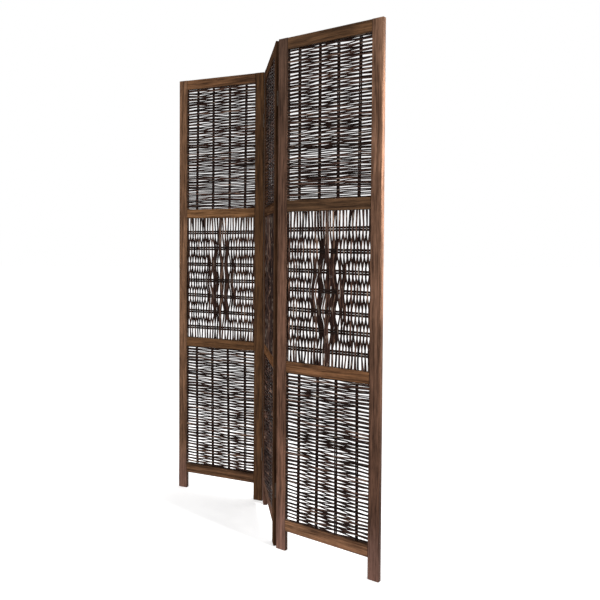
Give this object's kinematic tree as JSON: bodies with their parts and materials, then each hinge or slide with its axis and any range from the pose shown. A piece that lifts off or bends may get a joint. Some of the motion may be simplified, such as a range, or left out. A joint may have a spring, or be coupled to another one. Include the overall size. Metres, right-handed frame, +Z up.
{
  "type": "folding room divider",
  "caption": "Folding room divider standing in a zigzag: dark wooden frames hinged edge to edge, each with fields of woven willow twigs between its rails.",
  "frame": {"origin": "middle of the footprint's bounding box in the stored zigzag pose, on the floor", "axes": "+Z up, +X along the middle panel from its left stile to its right stile, +Y from the middle panel's front face to its rear face"},
  "size_m": [0.9402, 0.6298, 1.7],
  "materials": {
    "frame_wood": "dark walnut stain, satin",
    "willow": "dark stained willow bark, matte to satin",
    "rod_wood": "dark stained round rod, matte",
    "hinge_metal": "dark bronze"
  },
  "bodies": {
    "middle_panel": {"left_joint_fixed_leaves": "hinge_metal", "left_joint_fixed_screws": "hinge_metal", "left_joint_pins": "hinge_metal", "middle_bottom_rail": "frame_wood", "middle_left_stile": "frame_wood", "middle_lower_rail": "frame_wood", "middle_lower_stakes": "rod_wood", "middle_lower_twigs": "willow", "middle_middle_rods": "rod_wood", "middle_middle_twigs": "willow", "middle_right_stile": "frame_wood", "middle_top_rail": "frame_wood", "middle_upper_rail": "frame_wood", "middle_upper_stakes": "rod_wood", "middle_upper_twigs": "willow", "right_joint_fixed_leaves": "hinge_metal", "right_joint_fixed_screws": "hinge_metal", "right_joint_pins": "hinge_metal"},
    "left_panel": {"left_bottom_rail": "frame_wood", "left_joint_swing_leaves": "hinge_metal", "left_joint_swing_screws": "hinge_metal", "left_left_stile": "frame_wood", "left_lower_rail": "frame_wood", "left_lower_stakes": "rod_wood", "left_lower_twigs": "willow", "left_middle_rods": "rod_wood", "left_middle_twigs": "willow", "left_right_stile": "frame_wood", "left_top_rail": "frame_wood", "left_upper_rail": "frame_wood", "left_upper_stakes": "rod_wood", "left_upper_twigs": "willow"},
    "right_panel": {"right_bottom_rail": "frame_wood", "right_joint_swing_leaves": "hinge_metal", "right_joint_swing_screws": "hinge_metal", "right_left_stile": "frame_wood", "right_lower_rail": "frame_wood", "right_lower_stakes": "rod_wood", "right_lower_twigs": "willow", "right_middle_rods": "rod_wood", "right_middle_twigs": "willow", "right_right_stile": "frame_wood", "right_top_rail": "frame_wood", "right_upper_rail": "frame_wood", "right_upper_stakes": "rod_wood", "right_upper_twigs": "willow"}
  },
  "joints": [
    {"name": "left_fold", "type": "hinge", "parent": "middle_panel", "child": "left_panel", "pos_m": [-0.23108, 0.01519, 0], "axis": [0, 0, 1], "range_deg": [-56, 124]},
    {"name": "right_fold", "type": "hinge", "parent": "middle_panel", "child": "right_panel", "pos_m": [0.17192, 0.03699, 0], "axis": [0, 0, 1], "range_deg": [-44.5, 135.5]}
  ]
}
